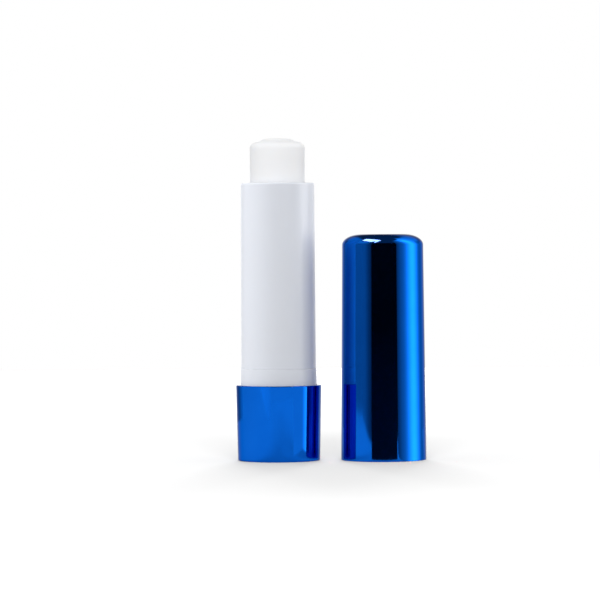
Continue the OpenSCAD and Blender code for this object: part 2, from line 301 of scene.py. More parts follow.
# %% Turn the collar and cut its web
RUN_GAP = 0.1
COLLAR_ROUND = 0.2
COLLAR_INNER_ROUND = 0.12
WEB_RISE = 10.4
WEB = 1.4
FOOT_GAP = 0.25
BEAD = 0.25
BEAD_UP = 2.2
BEAD_HALF = 0.45

sleeve_r = collar_r - COLLAR_WALL
tube_foot_r = sleeve_r - RUN_GAP
skirt_z = BASE_FLOOR + SEAT_GAP
web_z = skirt_z + WEB_RISE
web_top = web_z + WEB
groove_z = web_top + FOOT_GAP + BEAD_UP
groove_half = BEAD_HALF + RUN_GAP
groove_r = tube_foot_r + BEAD + RUN_GAP


def skirt_outer(z):
    """Outside radius of the sleeve, inside the base's wall."""
    return base_outer(z) - BASE_WALL - SEAT_GAP


collar_outline = (
    [(0, web_z), (skirt_outer(web_z) - COLLAR_WALL, web_z), (skirt_outer(skirt_z) - COLLAR_WALL, skirt_z)]
    + [(skirt_outer(skirt_z), skirt_z), (collar_r, base_h)]
    + bend(collar_r - COLLAR_ROUND, collar_top - COLLAR_ROUND, COLLAR_ROUND, 0, 90, 8)
    + bend(sleeve_r + COLLAR_INNER_ROUND, collar_top - COLLAR_INNER_ROUND, COLLAR_INNER_ROUND, 90, 180, 4)
    + [(sleeve_r, groove_z + groove_half), (groove_r, groove_z + groove_half - BEAD / 2)]
    + [(groove_r, groove_z - groove_half + BEAD), (sleeve_r, groove_z - groove_half)]
    + [(sleeve_r, web_top), (0, web_top)]
)
collar_sleeve = turn("collar_sleeve", collar_outline)

# %% [markdown]
# ### What isn't round
#
# Gussets stiffen the web, slots let the base's lugs through, and the hexagon drives the screw. A mesh
# could be edited face by face for them, but a boolean with a plain box or prism says what a mould does.

# %% Join its gussets, and cut the slots and the hexagon
HEX_ACROSS = 5.0
HEX_TOOL = 6
GUSSETS = 4
GUSSET_HALF = 0.45
GUSSET_AWAY = 0.55
GUSSET_DOWN = 3
GUSSET_INTO = 0.3
SLOT_HALF = 0.8
CUT_PAST = 1

hex_r = HEX_ACROSS / 2 / math.cos(math.radians(30))
gusset_end = skirt_outer(web_z) - COLLAR_WALL + GUSSET_INTO
for k in range(GUSSETS):
    low = (hex_r + GUSSET_AWAY, -GUSSET_HALF, web_z - GUSSET_DOWN)
    high = (gusset_end, GUSSET_HALF, web_z + GUSSET_INTO)
    carve(collar_sleeve, block(low, high, k * QUARTER), "UNION")
for way in lug_ways:
    low = (sleeve_r - COLLAR_WALL, -SLOT_HALF, skirt_z - CUT_PAST)
    high = (rim_r, SLOT_HALF, BASE_FLOOR + LUG_H + RUN_GAP)
    carve(collar_sleeve, block(low, high, way))
bpy.ops.mesh.primitive_cylinder_add(
    vertices=6,
    radius=(hex_r + SEAT_GAP) * MM,
    depth=HEX_TOOL * MM,
    location=(0, 0, (web_z + WEB / 2) * MM),
    rotation=(0, 0, math.pi / 6),
)
carve(collar_sleeve, bpy.context.object)
smooth(collar_sleeve)

# %% [markdown]
# ## The tube
#
# The white barrel is the part the balm slides in. Its outside tapers by an eighth of a millimetre to the
# mouth, which is rounded outside and in. Two thin key ribs run down the bore, where the photograph
# can't see them but a finger can feel them, and the foot has the snap bead.

# %% Turn the tube and pull its key ribs
SHOULDER_GAP = 0.025
SHOULDER_ROUND = 0.04
TUBE_DRAFT = 0.125
TUBE_WALL = 1.85
MOUTH_ROUND = 0.4
MOUTH_INNER_ROUND = 0.2
KEY_H = 0.42
KEY_LOW = 14.95
KEY_STOP = 2.4
KEY_FACES = 5

mouth_r = tube_r - TUBE_DRAFT
bore_r = mouth_r - TUBE_WALL
shoulder_z = collar_top + SHOULDER_GAP
tube_bottom = tube_low.z
bead_z = tube_bottom + BEAD_UP
bead_r = tube_foot_r + BEAD
tube_outline = (
    [(tube_foot_r - BEAD, tube_bottom), (tube_foot_r, tube_bottom + BEAD), (tube_foot_r, bead_z - BEAD_HALF)]
    + [(bead_r, bead_z - BEAD_HALF + BEAD), (bead_r, bead_z + BEAD_HALF - BEAD / 2)]
    + [(tube_foot_r, bead_z + BEAD_HALF), (tube_foot_r, shoulder_z)]
    + bend(tube_r - SHOULDER_ROUND, shoulder_z + SHOULDER_ROUND, SHOULDER_ROUND, -90, 0, 3)
    + bend(mouth_r - MOUTH_ROUND, tube_top - MOUTH_ROUND, MOUTH_ROUND, 0, 90, 12)
    + bend(bore_r + MOUTH_INNER_ROUND, tube_top - MOUTH_INNER_ROUND, MOUTH_INNER_ROUND, 90, 180, 6)
    + [(bore_r, tube_top - KEY_STOP), (bore_r, KEY_LOW), (bore_r, tube_bottom)]
)
tube_barrel = turn("tube_barrel", tube_outline, ring=True)
for side in (0, math.pi):
    found = pull_rib(tube_barrel, side, KEY_FACES, KEY_LOW, tube_top - KEY_STOP, bore_r, KEY_H)
print("tube: faces in a key rib", found)
smooth(tube_barrel)

# %% [markdown]
# ## The balm
#
# The balm is cast into its carrier and comes out of the mould with a low disc on its tip, where it met
# the end of the mould, and a soft round edge. The two key ribs of the tube leave a groove in each side
# as it rises. Inside, it is bored for the screw and seated on the carrier's hub.

# %% Shape the balm's tip
TIP_FLAT_R = 0.4
TIP_CURVE = 0.018
TIP_STEP = 0.5
TIP_DISC_R = 2.6
TIP_SLOPE = 1.8
TIP_ROUND = 1.25
TIP_RINGS = 64


def tip_fall(r):
    """Depth of the balm's surface below its tip at radius r."""
    away = max(0, r - TIP_FLAT_R)
    slope = min(1, max(0, (r - TIP_DISC_R) / TIP_SLOPE))
    over = max(0, r - (balm_r - TIP_ROUND))
    soft = TIP_ROUND - math.sqrt(max(0, TIP_ROUND ** 2 - over ** 2))
    return TIP_CURVE * away ** 2 + TIP_STEP * slope ** 2 * (3 - 2 * slope) + soft


tip_rings = [balm_r * math.sin(QUARTER * i / TIP_RINGS) for i in range(TIP_RINGS, -1, -1)]
print(f"balm: the tip's edge lies {tip_fall(balm_r):.2f} below its middle")

# %% [markdown]
# ### The stick below its tip
#
# The tip's rings stand closer together towards the edge, where the round is. Below it the balm is a
# plain bar. The grooves are strips of its wall pulled inwards, as the ribs are, and four fins of the
# carrier leave their room in the plug at its foot.

# %% Turn the balm and press its grooves
PLUG_WALL = 1.05
SEAT_Z = 29.2
HUB_TOP = 29.5
HUB_GAP_R = 3.45
RING_GAP_R = 3.8
RING_DOWN = 0.85
SCREW_BORE_R = 2.45
SCREW_BORE_TOP = 65.75
WIND_DOWN = 9.5
GROOVE_PAST = 0.2
GROOVE_FACES = 7
FINS = 4
FIN_TOP = 28.2
FIN_HALF = 0.45
FIN_INTO = 0.35

plug_z = balm_low.z
plug_r = balm_r - PLUG_WALL
groove_top = tube_top - KEY_STOP + WIND_DOWN + GROOVE_PAST
balm_outline = (
    [(0, SCREW_BORE_TOP), (SCREW_BORE_R, SCREW_BORE_TOP), (SCREW_BORE_R, HUB_TOP), (HUB_GAP_R, HUB_TOP)]
    + [(RING_GAP_R, HUB_TOP - RING_DOWN), (HUB_GAP_R, HUB_TOP - RING_DOWN), (HUB_GAP_R, plug_z)]
    + [(plug_r, plug_z), (plug_r, SEAT_Z), (balm_r, SEAT_Z), (balm_r, groove_top)]
    + [(r, tip_z - tip_fall(r)) for r in tip_rings]
)
balm_stick = turn("balm_stick", balm_outline)
for side in (0, math.pi):
    found = pull_rib(balm_stick, side, GROOVE_FACES, SEAT_Z, groove_top, balm_r, KEY_H)
print("balm: faces in a groove", found)
for k in range(FINS):
    low = (HUB_GAP_R - FIN_INTO, -FIN_HALF, plug_z - CUT_PAST)
    high = (plug_r + FIN_INTO, FIN_HALF, FIN_TOP)
    carve(balm_stick, block(low, high, QUARTER / 2 + k * QUARTER))
smooth(balm_stick, 40)

# %% [markdown]
# ## The cap
#
# The cap is a long thimble, 0.7 mm thick, with a crown that rolls over in an elliptical arc. Its mouth
# has a lead-in, and six low ribs just inside grip the collar. Its lacquered wall mirrors everything
# round it, so the crown gets many rings and the normals follow the long wall.

# %% Turn the cap and pull its grip ribs
CAP_WALL = 0.7
CAP_GAP = 0.15
CAP_ROOF = 1.6
CROWN_W = 4.2
CROWN_H = 2.4
ROOF_ROUND = 1.6
GATE_MARK_R = 0.7
GATE_MARK_SLOPE = 0.15
GATE_MARK_H = 0.25
LEAD_IN = 0.25
LIP_IN = 0.05
LIP_H = 0.03
LIP_OUT = 0.02
GRIPS = 6
GRIP_FACES = 3
GRIP_LOW = 0.8
GRIP_HIGH = 3.7
GRIP_MID = 2
GRIP_GAP = 0.02

cap_top_r = mouth_r + CAP_GAP + CAP_WALL
cavity_r = collar_r + CAP_GAP
upper_r = mouth_r + CAP_GAP
roof_z = cap_h - CAP_ROOF
upper_z = tube_top - base_h


def cap_inner(z):
    """Radius of the cap's cavity at height z."""
    return cavity_r + (upper_r - cavity_r) * (z - LEAD_IN) / (upper_z - LEAD_IN)


cap_outline = (
    [(0, roof_z - GATE_MARK_H), (GATE_MARK_R, roof_z - GATE_MARK_H), (GATE_MARK_R + GATE_MARK_SLOPE, roof_z)]
    + bend(upper_r - ROOF_ROUND, roof_z - ROOF_ROUND, ROOF_ROUND, 90, 0, 10)
    + [(upper_r, upper_z), (cap_inner(GRIP_HIGH), GRIP_HIGH), (cap_inner(GRIP_LOW), GRIP_LOW)]
    + [(cavity_r, LEAD_IN), (cavity_r + LEAD_IN - LIP_IN, LIP_H)]
    + [(cavity_r + LEAD_IN + LIP_OUT, 0), (rim_r - RIM_ROUND, 0)]
    + bend(rim_r - RIM_ROUND, RIM_ROUND, RIM_ROUND, -90, 0, 8)[1:]
    + arc((cap_top_r - CROWN_W, cap_h - CROWN_H), CROWN_W, CROWN_H, 0, 90, 48)
    + [(0, cap_h)]
)
cap_shell = turn("cap_shell", cap_outline, axis_x=cap_x)

grip_r = cap_inner(GRIP_MID)
grip_h = grip_r - collar_r - GRIP_GAP
for k in range(GRIPS):
    way = QUARTER + k * 2 * math.pi / GRIPS
    found = pull_rib(cap_shell, way, GRIP_FACES, GRIP_LOW, GRIP_HIGH, grip_r, grip_h, cap_x)
print("cap: faces in a grip rib", found)
smooth(cap_shell)

# %% [markdown]
# ## Writing shaders as sums
#
# A shader graph is mostly arithmetic on masks. Placing each Math node by hand hides the sum, so one
# small class wraps a socket and turns +, -, * and / into Math nodes, and one method adds any other
# node: first its settings, then the values or links of its sockets.

# %% A shader kit
class Signal:
    """An output socket of a finish. Arithmetic on it adds Math nodes."""

    def __init__(self, finish, socket):
        self.finish, self.socket = finish, socket

    def sum(self, operation, a, b, clamp=False):
        settings = {"operation": operation, "use_clamp": clamp}
        return self.finish.add("ShaderNodeMath", settings, {0: a, 1: b})

    def __add__(self, other):
        return self.sum("ADD", self, other)

    def __radd__(self, other):
        return self.sum("ADD", other, self)

    def __sub__(self, other):
        return self.sum("SUBTRACT", self, other)

    def __rsub__(self, other):
        return self.sum("SUBTRACT", other, self)

    def __mul__(self, other):
        return self.sum("MULTIPLY", self, other)

    def __rmul__(self, other):
        return self.sum("MULTIPLY", other, self)

    def __truediv__(self, other):
        return self.sum("DIVIDE", self, other)

    def held(self):
        """The value, held between 0 and 1."""
        return self.sum("ADD", self, 0.0, clamp=True)


class Finish:
    """The node tree of a material or a world, under construction."""

    def __init__(self, owner):
        owner.use_nodes = True
        self.owner = owner
        self.tree = owner.node_tree
        self.tree.nodes.clear()

    def add(self, kind, settings=None, sockets=None, out=0):
        """Add a node, with its settings first and then its sockets, and give one of its outputs."""
        node = self.tree.nodes.new(kind)
        for key, value in (settings or {}).items():
            if key == "stops":
                ramp = node.color_ramp.elements
                while len(ramp) < len(value):
                    ramp.new(0.5)
                for stop, (place, tone) in zip(ramp, value):
                    stop.position, stop.color = place, (*tone, 1)
            else:
                setattr(node, key, value)
        for key, value in (sockets or {}).items():
            if isinstance(value, Signal):
                self.tree.links.new(value.socket, node.inputs[key])
            else:
                node.inputs[key].default_value = value
        return Signal(self, node.outputs[out]) if out is not None else None

    def place(self, stretch=(1, 1, 1)):
        """Object coordinates, stretched along each axis."""
        raw = self.add("ShaderNodeTexCoord", out="Object")
        return self.add("ShaderNodeMapping", {}, {"Vector": raw, "Scale": stretch})

    def noise(self, scale, detail=2.0, stretch=(1, 1, 1), rough=0.5):
        """Cloudy noise from 0 to 1, with so many lumps in a metre."""
        sockets = {"Vector": self.place(stretch), "Scale": scale, "Detail": detail, "Roughness": rough}
        return self.add("ShaderNodeTexNoise", {}, sockets, out="Fac")

    def mix(self, share, a, b):
        """Colour a where share is 0 and colour b where it is 1."""
        a, b = [c if isinstance(c, Signal) else (*c, 1) for c in (a, b)]
        return self.add("ShaderNodeMix", {"data_type": "RGBA"}, {0: share, 6: a, 7: b}, out=2)

    def bump(self, height, distance, strength=1.0):
        """A normal bent by a height in units of distance, in metres."""
        return self.add("ShaderNodeBump", {}, {"Height": height, "Distance": distance, "Strength": strength})

    def surface(self, **sockets):
        """Close the material with one Principled shader. Underscores stand for spaces in socket names."""
        named = {key.replace("_", " "): value for key, value in sockets.items()}
        for key in ("Base Color", "Emission Color", "Specular Tint"):
            if key in named and not isinstance(named[key], Signal):
                named[key] = (*named[key], 1)
        return self.close(self.add("ShaderNodeBsdfPrincipled", {}, named))

    def close(self, shader, kind="ShaderNodeOutputMaterial"):
        """End the tree in a shader, and give back its material or world."""
        self.add(kind, {}, {"Surface": shader}, out=None)
        return self.owner


def paint(piece, material):
    """Give a piece one material."""
    piece.data.materials.clear()
    piece.data.materials.append(material)

# %% [markdown]
# ## Metallised blue
#
# The base and the cap are moulded plastic with a film of aluminium and a transparent blue lacquer over
# it. The film mirrors the room, and the lacquer takes nearly all of the red and most of the green. One
# metallic shader with a deep blue base colour does both. The real film is a little cloudy and follows
# the plastic's faint sink marks, so colour, roughness and bump vary slowly by a few percent. The film
# is laid on from outside, and fades away a millimetre or two inside the mouth, where the plastic shows.

# %% Mark where the film lies
NEAR_WALL = 0.15
FILM_CLEAR = 0.1
CAP_FADE = 1.6
BASE_FADE = 1.0


def film_cap(x, y, z):
    """1 on the cap's outside, fading inside its mouth."""
    inside = math.hypot(x - cap_x, y) < cap_inner(z) + NEAR_WALL and z < roof_z + FILM_CLEAR
    return max(0.0, 1 - max(0.0, z - FILM_CLEAR) / CAP_FADE) if inside else 1.0


def film_base(x, y, z):
    """1 on the base's outside, fading inside its rim."""
    inside = math.hypot(x, y) < base_outer(z) - BASE_WALL + NEAR_WALL and z > BASE_FLOOR - FILM_CLEAR
    return max(0.0, 1 - (base_h - z) / BASE_FADE) if inside else 1.0


for piece, film in ((cap_shell, film_cap), (base_cup, film_base)):
    values = [film(*(v.co / MM)) for v in piece.data.vertices]
    layer = piece.data.attributes.new("film", "FLOAT", "POINT")
    layer.data.foreach_set("value", values)
    print(piece.name, "points on the film:", sum(value > 0.5 for value in values), "of", len(values))

# %% [markdown]
# ### The blue itself
#
# Cloud, sink and grain are three sizes of the same noise. The film's share decides between lacquer on
# metal and bare plastic, in colour, metal and roughness at once. The wave is under two thousandths of a
# millimetre high: a mirror shows that much.

# %% Metallised blue
BLUE = (0.003, 0.124, 0.63)
BLUE_DEEP = (0.002, 0.106, 0.57)
BARE_PLASTIC = (0.72, 0.74, 0.78)
PLASTIC_ROUGH = 0.32
FILM_SMOOTHER = 0.27
SINK_DEEP = 1.6e-6

finish = Finish(bpy.data.materials.new("metallised_blue"))
film = finish.add("ShaderNodeAttribute", {"attribute_name": "film"}, out="Fac")
cloud = finish.noise(220, 3)
sink = finish.noise(150, 1, (1, 1, 0.35))
grain = finish.noise(9000, 2)
lacquer = finish.mix(cloud, BLUE_DEEP, BLUE)
wave = finish.bump(sink, SINK_DEEP)
metallised_blue = finish.surface(
    Base_Color=finish.mix(film, BARE_PLASTIC, lacquer),
    Metallic=film,
    Roughness=PLASTIC_ROUGH - film * FILM_SMOOTHER + cloud * 0.02 + grain * 0.01,
    Specular_Tint=(0.5, 0.5, 0.5),
    Normal=wave,
)

# %% [markdown]
# ## White plastic
#
# Tube and collar are polished white plastic, a little cold in tone. A polished moulding is still not
# quite even: its white is faintly mottled, its skin has shallow waves, and light goes a little way in,
# which softens it. Too much gloss would look like glass, so the roughness stays near a quarter.

# %% White plastic
WHITE_PALE = (0.835, 0.865, 0.935)
WHITE_COLD = (0.82, 0.85, 0.925)

finish = Finish(bpy.data.materials.new("white_plastic"))
mottle = finish.noise(90, 2)
peel = finish.noise(110, 1)
white_plastic = finish.surface(
    Base_Color=finish.mix(mottle, WHITE_COLD, WHITE_PALE),
    Roughness=0.26 + mottle * 0.05,
    Subsurface_Weight=0.12,
    Subsurface_Radius=(0.0012, 0.0011, 0.0010),
    Subsurface_Scale=1.0,
    Normal=finish.bump(peel, 4e-6),
)

# %% [markdown]
# ## Natural plastic
#
# The screw and the carrier stay inside. They are moulded in the same plastic without pigment, which is
# milky and slightly warm, with a matte skin from a plain steel mould.

# %% Natural plastic
MILK = (0.76, 0.76, 0.73)
MILK_PALE = (0.83, 0.83, 0.80)

finish = Finish(bpy.data.materials.new("natural_plastic"))
milk = finish.noise(420, 4)
spark = finish.noise(5200, 2)
natural_plastic = finish.surface(
    Base_Color=finish.mix(milk, MILK, MILK_PALE),
    Roughness=0.42 + spark * 0.12,
    Subsurface_Weight=0.3,
    Subsurface_Radius=(0.002, 0.0018, 0.0016),
    Subsurface_Scale=1.0,
    Normal=finish.bump(spark, 5e-6),
)

# %% [markdown]
# ## Balm
#
# The balm is wax and oil. Light spreads inside it and softens every edge, and its skin is smooth, with
# shallow flow ripples and tiny pits from casting.

# %% Balm
WAX = (0.935, 0.945, 0.975)
WAX_PALE = (0.96, 0.97, 0.99)

finish = Finish(bpy.data.materials.new("balm_wax"))
ripple = finish.noise(520, 3, (1, 1, 1.8))
pit = finish.noise(6500, 2)
cloud = finish.noise(180, 2)
balm_wax = finish.surface(
    Base_Color=finish.mix(cloud, WAX, WAX_PALE),
    Roughness=0.48 + ripple * 0.08,
    Subsurface_Weight=0.45,
    Subsurface_Radius=(0.0028, 0.0026, 0.0024),
    Subsurface_Scale=1.0,
    Normal=finish.bump(ripple * 0.9 + pit * 0.1, 1e-5),
)

# %% [markdown]
# ## Each piece on its body
#
# The new meshes take the place of the CAD solids, which are hidden, and ride on the same bodies, so that
# every joint moves them.
# The screw and the carrier stay hidden, so they keep their CAD solids and get the natural plastic.

# %% Put each piece on its body
SCREW, CARRIER = (bpy.data.objects[name] for name in ("feed_screw", "carrier"))
for piece, body, node, slot, material in (
    (tube_barrel, "tube", "tube", "white_plastic", white_plastic),
    (base_cup, "base", "base_shell", "metallised_blue", metallised_blue),
    (collar_sleeve, "base", "drive_collar", "white_plastic", white_plastic),
    (balm_stick, "carrier", "balm", "balm_wax", balm_wax),
    (cap_shell, "cap", "cap", "metallised_blue", metallised_blue),
):
    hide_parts(node)
    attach(piece, body)
    paint(piece, material)
for node in (SCREW, CARRIER):
    for place in node.material_slots:
        place.material = natural_plastic
print("kept from the CAD:", SCREW.name, CARRIER.name)

# %% [markdown]
# ## The table
#
# The picture was taken on a white table in front of white paper. Right of the cap a lamp stands against
# the table's edge, so the cap mirrors no table there: that sector is separated from the disc as a piece
# of its own, which mirrors don't see. A plane would do for the camera, but a disc round the cap's axis
# gives the sector clean edges.

# %% The table
LAMP_FROM = 34
LAMP_TO = 126
WALL_AWAY = 160
TABLE_REACH = 560
table_outline = [(0, 0), (30, 0), (WALL_AWAY, 0), (TABLE_REACH, 0)]
table = turn("table", table_outline, axis_x=cap_x)


def way_round(x, y):
    """Angle round the cap's axis in degrees: 0 towards the camera, growing to the right."""
    return math.degrees(math.atan2(x - cap_x, -y)) % 360


only(table)
bpy.ops.object.mode_set(mode="EDIT")
bpy.ops.mesh.select_mode(type="FACE")
bpy.ops.mesh.select_all(action="SELECT")
bpy.ops.mesh.flip_normals()
bpy.ops.mesh.select_all(action="DESELECT")
shape = bmesh.from_edit_mesh(table.data)
for face in shape.faces:
    centre = face.calc_center_median() / MM
    away = math.hypot(centre.x - cap_x, centre.y)
    face.select_set(LAMP_FROM < way_round(centre.x, centre.y) < LAMP_TO and away < WALL_AWAY)
bmesh.update_edit_mesh(table.data)
bpy.ops.mesh.separate(type="SELECTED")
bpy.ops.object.mode_set(mode="OBJECT")
lamp_side = next(o for o in bpy.context.selected_objects if o != table)
lamp_side.name = lamp_side.data.name = "table_lamp_side"
lamp_side.visible_glossy = False
print("table:", len(table.data.polygons), "faces, and on the lamp's side", len(lamp_side.data.polygons))

# %% [markdown]
# ### The table's white
#
# The table is matte, so it keeps the soft shadows at the feet. A small glow of its own, seen only by the
# camera and by mirrors, lifts it to the paper's white. To the light that it sends on to other things it
# is darker, or it would fill the shaded sides of the white parts.

# %% The table's white
TABLE_GREY = 0.48
BOUNCE_LESS = 0.25
TABLE_GLOW = 0.078
finish = Finish(bpy.data.materials.new("table_white"))
lighting = finish.add("ShaderNodeLightPath", out="Is Diffuse Ray")
seen = finish.add("ShaderNodeLightPath", out="Is Camera Ray")
mirrored = finish.add("ShaderNodeLightPath", out="Is Glossy Ray")
table_white = finish.surface(
    Base_Color=TABLE_GREY - lighting * BOUNCE_LESS,
    Roughness=0.9,
    Specular_IOR_Level=0.0,
    Emission_Color=(1.0, 1.0, 1.0),
    Emission_Strength=(seen + mirrored) * TABLE_GLOW,
)
for part in (table, lamp_side):
    paint(part, table_white)
    part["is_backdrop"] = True

# %% [markdown]
# ## Cards for the mirrors
#
# A mirror has no colour of its own to show: what it looks like is what stands round it. Product
# photographers put cards round such a part, and so does this lesson. Each card is a strip drawn up from
# a path on the table, or a polygon overhead. Lamps with a picture on them could do the same, but a card
# can be bent round the object.

# %% Helpers for drawing cards
def start_card(name, x, y, z):
    """A single vertex in edit mode, in millimetres, from which a card is drawn."""
    bpy.ops.object.select_all(action="DESELECT")
    bpy.ops.mesh.primitive_plane_add(size=MM, location=(x * MM, y * MM, z * MM))
    made = bpy.context.object
    made.name = made.data.name = name
    bpy.ops.object.transform_apply(location=True, rotation=True, scale=True)
    bpy.ops.object.mode_set(mode="EDIT")
    bpy.ops.mesh.select_mode(type="VERT")
    bpy.ops.mesh.select_all(action="SELECT")
    bpy.ops.mesh.merge(type="CENTER")
    return made


def draw_on(points):
    """Extrude the selected vertex through (x, y) points, in millimetres."""
    for (xa, ya), (xb, yb) in zip(points, points[1:]):
        step = ((xb - xa) * MM, (yb - ya) * MM, 0)
        bpy.ops.mesh.extrude_region_move(TRANSFORM_OT_translate={"value": step})
    bpy.ops.mesh.select_all(action="SELECT")


def wall_card(name, path, heights):
    """A standing card on a path of (x, y) points, with rows of points at the given heights."""
    made = start_card(name, *path[0], heights[0])
    draw_on(path)
    for za, zb in zip(heights, heights[1:]):
        bpy.ops.mesh.extrude_region_move(TRANSFORM_OT_translate={"value": (0, 0, (zb - za) * MM)})
    bpy.ops.object.mode_set(mode="OBJECT")
    return made


def flat_card(name, corners, z):
    """A level card with the given (x, y) corners."""
    made = start_card(name, *corners[0], z)
    draw_on(corners)
    bpy.ops.mesh.edge_face_add()
    bpy.ops.object.mode_set(mode="OBJECT")
    return made


def from_cap(way, away):
    """A point so far from the cap's axis, at an angle from the camera's side, growing to the right."""
    return cap_x + away * math.sin(math.radians(way)), -away * math.cos(math.radians(way))


def between(rows, x):
    """Value at x on a line through (x, value) rows."""
    if x <= rows[0][0]:
        return rows[0][1]
    for (xa, va), (xb, vb) in zip(rows, rows[1:]):
        if x <= xb:
            return va + (vb - va) * (x - xa) / (xb - xa)
    return rows[-1][1]

# %% [markdown]
# ### How a card glows
#
# Only reflections see a card, so it throws no light and no shadow on the white parts. A number on each
# of its points says how brightly it glows, and another how grey it is, where it should take its light
# from the room. Base and cap mirror each other too: in such a reflection of a reflection a card glows
# half as much and turns a pale grey, as the room between them would look.

# %% A glow for the cards
MATTE_DIM = 0.9
ECHO_DIM = 0.5
ECHO_GREY = 0.7

finish = Finish(bpy.data.materials.new("card_glow"))
glow = finish.add("ShaderNodeAttribute", {"attribute_name": "glow"}, out="Fac")
tone = finish.add("ShaderNodeAttribute", {"attribute_name": "tone"}, out="Fac")
matte_seen = finish.add("ShaderNodeLightPath", out="Diffuse Depth").held()
echoed = (finish.add("ShaderNodeLightPath", out="Glossy Depth") - 1).held()
strength = glow * (1 - MATTE_DIM * matte_seen) * (1 - ECHO_DIM * echoed)
shine = finish.add("ShaderNodeEmission", {}, {"Strength": strength})
matte = finish.add("ShaderNodeBsdfDiffuse", {}, {"Color": tone + ECHO_GREY * echoed})
card_glow = finish.close(finish.add("ShaderNodeAddShader", {}, {0: shine, 1: matte}))
card_glow.cycles.emission_sampling = "NONE"


def mirrors_only(made):
    """Hide a card from all but reflections, and keep it with the stage."""
    made.visible_camera = False
    made.visible_diffuse = False
    made.visible_shadow = False
    made.visible_transmission = False
    made.visible_volume_scatter = False
    made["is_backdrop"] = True


def light_card(made, brightness, greyness=lambda x, y, z: 0.0):
    """Let a card glow, and be grey, by its point (x, y, z) in millimetres."""
    for name, rule in (("glow", brightness), ("tone", greyness)):
        layer = made.data.attributes.new(name, "FLOAT", "POINT")
        layer.data.foreach_set("value", [rule(*(v.co / MM)) for v in made.data.vertices])
    paint(made, card_glow)
    mirrors_only(made)
    print(made.name, "has", len(made.data.vertices), "points")

# %% [markdown]
# ### The ring wall
#
# From the right round to the back the cap mirrors one long wall. On the right it is a diffuser with a
# lamp behind it: an even veil, and a soft bell of light. Behind the cap it is the pale room, which is
# lit up to a height that changes with the angle. That height draws the dark band on the cap's crown,
# and its curve, which is why it is given in degrees and millimetres all the way round.

# %% The ring wall
VEIL = 0.45
VEIL_EDGE = [(30, 0.0), (50, 1.0)]
BELL = 3.5
BELL_WAY = 88.5
BELL_WIDE = 19.5
ABOVE = 0.9
ABOVE_FROM = [(110, 0.0), (170, 1.0)]
ABOVE_RIGHT = [(95, 0.0), (115, 1.0)]
STRIP_TO_BACK = [(120, 0.0), (140, 1.0)]
HIGH_FROM = [(100, 0.0), (140, 1.0)]
BACK_FADE = [(80, 1.0), (120, 0.10)]
BEHIND_LEFT = [(180, 1.2), (205, 1.2), (215, 0.8), (223, 0.5), (230, 0.35), (240, 0.6), (252, 0.95)]
LIT_RIGHT = [(140, 340), (150, 280), (154, 240), (163, 188), (175, 130), (185, 100)]
LIT_LEFT = [(190, 110), (198, 168), (212, 232), (230, 282), (240, 330)]
LIT_TO = LIT_RIGHT + LIT_LEFT
LIT_EDGE = [(-20, 1.0), (20, 0.0)]
LIT_PALE = [(130, 1.4), (150, 1.0), (165, 0.8)]
CEILING_DARK = 0.10


def strip_glow(way):
    """Glow of the diffuser on the right: an even veil, and a soft bell of light round the lamp behind it."""
    veil = VEIL * between(VEIL_EDGE, way)
    return veil + BELL * math.exp(-(((way - BELL_WAY) / BELL_WIDE) ** 2))


def ring_glow(x, y, z):
    """Glow of the wall: the diffuser on the right, and the pale room behind, dark above its lit part."""
    way = way_round(x, y)
    strip = strip_glow(way) + ABOVE * between(ABOVE_FROM, z) * between(ABOVE_RIGHT, way)
    behind = between(BEHIND_LEFT, way) if way > 180 else 1.0
    share = between(STRIP_TO_BACK, way)
    high = between(HIGH_FROM, z)
    lit = between(LIT_EDGE, z - between(LIT_TO, way))
    pale = between(LIT_PALE, way)
    back = (1 - high) * behind * between(BACK_FADE, z) + high * (CEILING_DARK + pale * lit)
    return strip * (1 - share) + share * back


ways = [*range(37, 129), *range(130, 251, 4)]
heights = [-80, -1, 40, 80, 90, 100, 110, 120, 140, 160, 180, 200, 220, 240, 260, 280, 300]
light_card(wall_card("ring_wall", [from_cap(w, WALL_AWAY) for w in ways], heights), ring_glow)

# %% [markdown]
# ### The left and the front
#
# On its left the cap mirrors the dim room and the table's front edge, and in front of it the dark side
# of the room, where the camera stands. The front cards glow for the stick alone, which stands so near
# that a black front would darken its base, as the photograph doesn't show.

# %% Cards on the left and in front
LEFT_PATH = [(-408, 3.5), (-290, -161), (-181, -147), (-125, -125), (-74, -102), (-62, -106)]
LEFT_GLOW = [(-300, 0.75), (-125, 0.95), (-74, 1.0)]
LEFT_GREY = [(-300, 0.66), (-181, 0.60), (-125, 0.42), (-74, 0.22), (-62, 0.07)]
LEFT_RISE = [(120, 0.35), (300, 0.9)]
LEFT_END = [(-125, 1), (-62, 0.1)]
FRONT_FADE = [(80, 1.0), (110, 0.6), (150, 0.3)]
NEAR_X = (13.0, 24.0, 34.1)
NEAR_Y = -20
NEAR_GREY = [(0, 0.05), (8, 0.045), (30, 0.01)]


def left_glow(x, y, z):
    """Glow of the room on the left, up to the height of the stick."""
    return between(LEFT_GLOW, x - cap_x)


def left_grey(x, y, z):
    """Grey of the same wall, darker towards the front."""
    return between(LEFT_GREY, x - cap_x)


def left_high_glow(x, y, z):
    """Glow of the wall above it, which ends towards the front."""
    return between(LEFT_RISE, z) * between(LEFT_END, x - cap_x)


left_points = [(cap_x + x, y) for x, y in LEFT_PATH]
left_low = wall_card("left_wall", left_points, [-1, 60, 120])
light_card(left_low, left_glow, left_grey)
left_high = wall_card("left_wall_high", left_points, [120, 200, 300])
light_card(left_high, left_high_glow)

